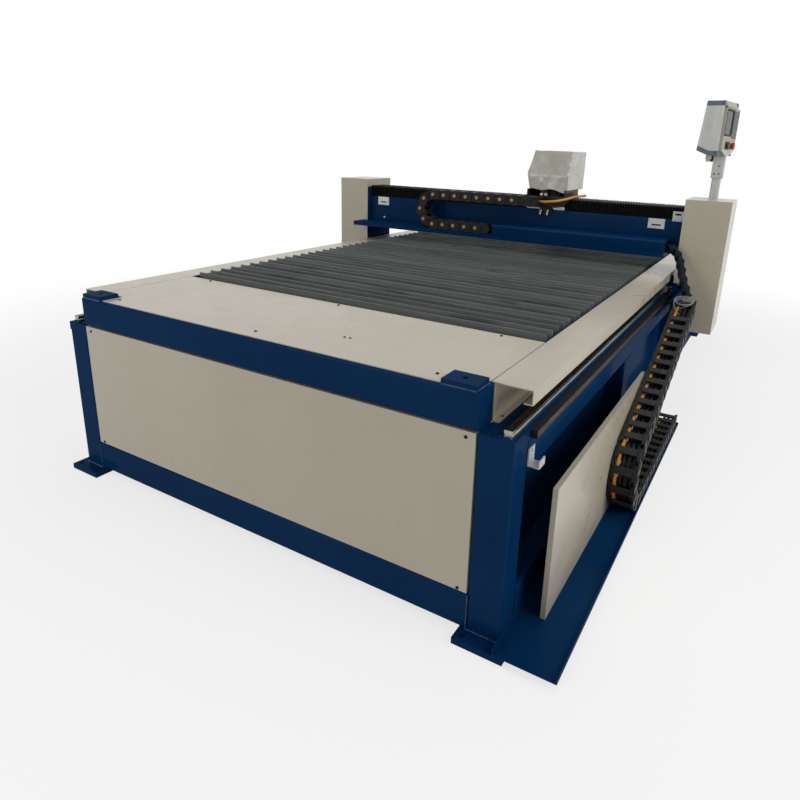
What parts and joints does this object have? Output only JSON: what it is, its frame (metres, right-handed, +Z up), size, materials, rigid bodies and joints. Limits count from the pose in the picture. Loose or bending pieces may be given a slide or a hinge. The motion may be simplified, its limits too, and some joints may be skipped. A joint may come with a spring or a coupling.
{
  "type": "cnc plasma table",
  "caption": "Plasma cutting table: welded tube frame with slat bed, rack-driven travelling gantry, cross carriage with torch lifter, drag chains and a control box on a post.",
  "frame": {"origin": "on the floor at the centre of the table", "axes": "+X to the right seen from the front panel, +Y along the table away from the front panel, +Z up"},
  "size_m": [2.294, 3.794, 1.543],
  "materials": {
    "blue_paint": "gloss enamel",
    "beige_paint": "satin enamel",
    "bright_steel": "ground",
    "black_steel": "blackened",
    "bare_steel": "mill scale",
    "chain_plastic": "moulded",
    "bellows_cloth": "coated cloth",
    "black_metal": "satin",
    "torch_black": "moulded",
    "lead_rubber": "smooth",
    "cable_wrap": "spiral wrap",
    "grey_aluminium": "anodised",
    "dark_plastic": "moulded",
    "red_plastic": "moulded",
    "green_plastic": "moulded"
  },
  "bodies": {
    "table": {"foot_plates": "blue_paint", "legs": "blue_paint", "lower_tubes": "blue_paint", "side_beams": "blue_paint", "rail_strips": "blue_paint", "cross_tubes": "blue_paint", "bed_frame": "blue_paint", "cap_plates": "blue_paint", "end_panels": "beige_paint", "inner_sheets": "blue_paint", "top_plates": "beige_paint", "side_covers": "beige_paint", "slats": "bare_steel", "slag_pan": "bare_steel", "y_rails": "bright_steel", "y_racks": "black_steel", "cable_tray": "blue_paint", "guard_panels": "beige_paint", "y_chain_lower": "chain_plastic", "limit_brackets": "bright_steel"},
    "gantry": {"end_plates": "blue_paint", "rail_blocks": "bright_steel", "beam": "blue_paint", "left_cover": "beige_paint", "right_cover": "beige_paint", "y_motors": "black_metal", "x_rails": "bright_steel", "x_rack": "black_steel", "chain_shelf": "blue_paint", "cable_duct": "blue_paint", "x_chain_lower": "chain_plastic", "sensor_plates": "bright_steel", "bellows_left": "bellows_cloth", "bellows_right": "bellows_cloth", "pole": "grey_aluminium", "control_box": "grey_aluminium", "box_caps": "dark_plastic", "screen_bezel": "dark_plastic", "screen_shade": "beige_paint", "cable_bundle": "cable_wrap", "y_chain_bracket": "blue_paint", "y_chain_upper": "chain_plastic"},
    "carriage": {"carriage_plate": "black_metal", "x_blocks": "bright_steel", "carriage_motors": "black_metal", "lifter_housing": "black_metal", "lifter_cover": "beige_paint", "x_chain_bracket": "bright_steel", "x_chain_upper": "chain_plastic", "torch_lead": "lead_rubber"},
    "lifting_screw": {"z_screw": "bright_steel"},
    "torch_slide": {"z_slide": "black_metal", "torch": "torch_black"},
    "left_drive_pinion": {"left_pinion": "bright_steel"},
    "right_drive_pinion": {"right_pinion": "bright_steel"},
    "cross_drive_pinion": {"x_pinion": "bright_steel"},
    "length_chain_bend": {"y_chain_bend": "chain_plastic"},
    "cross_chain_bend": {"x_chain_bend": "chain_plastic"},
    "emergency_stop": {"stop_head": "red_plastic"},
    "start_push": {"start_button": "green_plastic"}
  },
  "joints": [
    {"name": "gantry_slide", "type": "slide", "parent": "table", "child": "gantry", "axis": [0, 1, 0], "range_m": [-1.65, 1.2], "deforming": ["y_chain_upper"]},
    {"name": "carriage_slide", "type": "slide", "parent": "gantry", "child": "carriage", "axis": [1, 0, 0], "range_m": [-0.99, 0.55], "deforming": ["x_chain_upper", "bellows_left", "bellows_right"]},
    {"name": "torch_lift", "type": "slide", "parent": "carriage", "child": "torch_slide", "axis": [0, 0, 1], "range_m": [-0.03, 0.11]},
    {"name": "lifting_screw_turn", "type": "hinge", "parent": "carriage", "child": "lifting_screw", "pos_m": [0.22, 0.441, 0.9], "axis": [0, 0, 1], "continuous": true},
    {"name": "left_pinion_turn", "type": "hinge", "parent": "gantry", "child": "left_drive_pinion", "pos_m": [-0.93, 0.28, 0.561], "axis": [1, 0, 0], "continuous": true},
    {"name": "right_pinion_turn", "type": "hinge", "parent": "gantry", "child": "right_drive_pinion", "pos_m": [0.93, 0.28, 0.561], "axis": [1, 0, 0], "continuous": true},
    {"name": "cross_pinion_turn", "type": "hinge", "parent": "carriage", "child": "cross_drive_pinion", "pos_m": [0.22, 0.378, 0.95], "axis": [0, 0, 1], "continuous": true},
    {"name": "length_chain_roll", "type": "slide", "parent": "table", "child": "length_chain_bend", "axis": [0, 1, 0], "range_m": [-0.825, 0.6], "deforming": ["y_chain_lower"]},
    {"name": "cross_chain_roll", "type": "slide", "parent": "gantry", "child": "cross_chain_bend", "axis": [1, 0, 0], "range_m": [-0.495, 0.275], "deforming": ["x_chain_lower"]},
    {"name": "stop_press", "type": "slide", "parent": "gantry", "child": "emergency_stop", "axis": [0.9877, -0.1564, 0], "range_m": [-0.004, 0], "stiffness_N_per_m": 1500},
    {"name": "start_press", "type": "slide", "parent": "gantry", "child": "start_push", "axis": [0.9877, -0.1564, 0], "range_m": [-0.004, 0], "stiffness_N_per_m": 1500}
  ],
  "couplings": [
    {"joint": "lifting_screw_turn", "follows": "torch_lift", "rad_per_m": -1256.6},
    {"joint": "left_pinion_turn", "follows": "gantry_slide", "rad_per_m": 33.333},
    {"joint": "right_pinion_turn", "follows": "gantry_slide", "rad_per_m": 33.333},
    {"joint": "cross_pinion_turn", "follows": "carriage_slide", "rad_per_m": -50},
    {"joint": "length_chain_roll", "follows": "gantry_slide", "ratio": 0.5},
    {"joint": "cross_chain_roll", "follows": "carriage_slide", "ratio": 0.5}
  ]
}
